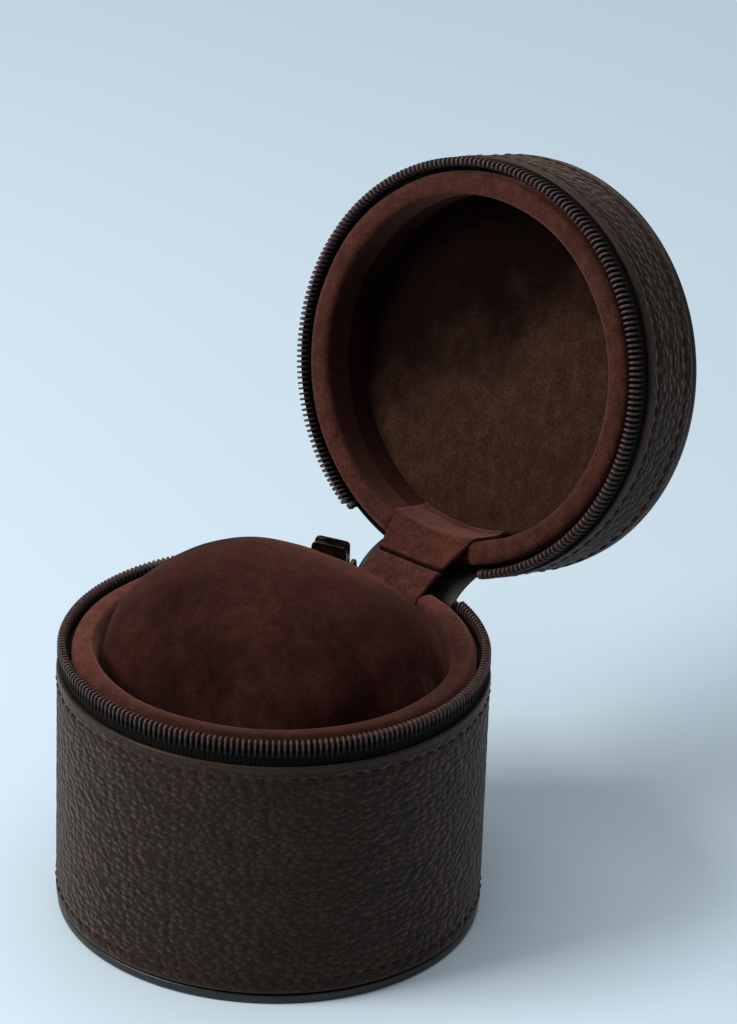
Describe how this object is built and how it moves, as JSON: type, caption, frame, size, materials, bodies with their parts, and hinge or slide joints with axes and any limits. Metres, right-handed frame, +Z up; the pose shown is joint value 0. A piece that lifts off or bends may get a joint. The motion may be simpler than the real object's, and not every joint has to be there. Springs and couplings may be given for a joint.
{
  "type": "watch travel case",
  "caption": "Cylindrical zipped leather travel case for a watch, with a hinged lid, suede lining and a suede pillow for the watch band.",
  "frame": {"origin": "centre of the base's flat bottom face", "axes": "+Z up, hinge at +Y, the zip's front at -Y; the lid leans back over +Y in the resting pose"},
  "size_m": [0.092, 0.14, 0.1498],
  "materials": {
    "pebbled_leather": "pebbled, soft sheen",
    "hinge_leather": "smooth, matt",
    "suede": "napped, matt",
    "suede_roof": "napped, matt",
    "zip_tape": "woven, matt",
    "gunmetal": "gunmetal lacquer, satin",
    "painted_edge": "edge paint, satin",
    "greyboard": "pressed board, matt",
    "foam": "open-cell foam, matt"
  },
  "bodies": {
    "base": {"base_leather": "pebbled_leather", "base_core": "greyboard", "base_board": "greyboard", "base_disc": "painted_edge", "base_foam": "foam", "base_collar": "suede", "cup_lining": "suede", "cup_pad": "foam", "cup_floor": "suede", "zip_tape_base": "zip_tape", "zip_teeth_base": "gunmetal", "zip_stops_base": "gunmetal", "hinge_band_base": "hinge_leather", "hinge_strap_base": "suede"},
    "lid": {"lid_leather": "pebbled_leather", "lid_core": "greyboard", "lid_board": "greyboard", "lid_disc": "pebbled_leather", "lid_foam": "foam", "lid_collar": "suede", "recess_lining": "suede", "roof_pad": "foam", "roof_lining": "suede_roof", "zip_tape_lid": "zip_tape", "zip_teeth_lid": "gunmetal", "zip_stops_lid": "gunmetal", "hinge_band_lid": "hinge_leather", "hinge_strap_lid": "suede"},
    "slider": {"slider_body": "gunmetal", "slider_bridge": "gunmetal"},
    "pull": {"pull_link": "gunmetal", "pull_tab": "gunmetal"},
    "pillow": {"pillow_core": "foam", "pillow_cover": "suede"}
  },
  "joints": [
    {"name": "lid_hinge", "type": "hinge", "parent": "base", "child": "lid", "pos_m": [0, 0.0473, 0.0598], "axis": [-1, 0, 0], "range_deg": [-104, 0]},
    {"name": "pillow_press", "type": "slide", "parent": "base", "child": "pillow", "axis": [0, 0, 1], "range_m": [-0.008, 0]},
    {"name": "zip_slide", "type": "hinge", "parent": "base", "child": "slider", "pos_m": [0, 0, 0.0614], "axis": [0, 0, 1], "range_deg": [0, 309.5]},
    {"name": "pull_swing", "type": "hinge", "parent": "slider", "child": "pull", "pos_m": [-0.02048, 0.04391, 0.0614], "axis": [0.9063, 0.4226, 0], "range_deg": [0, 85]}
  ],
  "couplings": [
    {"joint": "pillow_press", "follows": "lid_hinge", "m_per_rad": 0.004407}
  ]
}
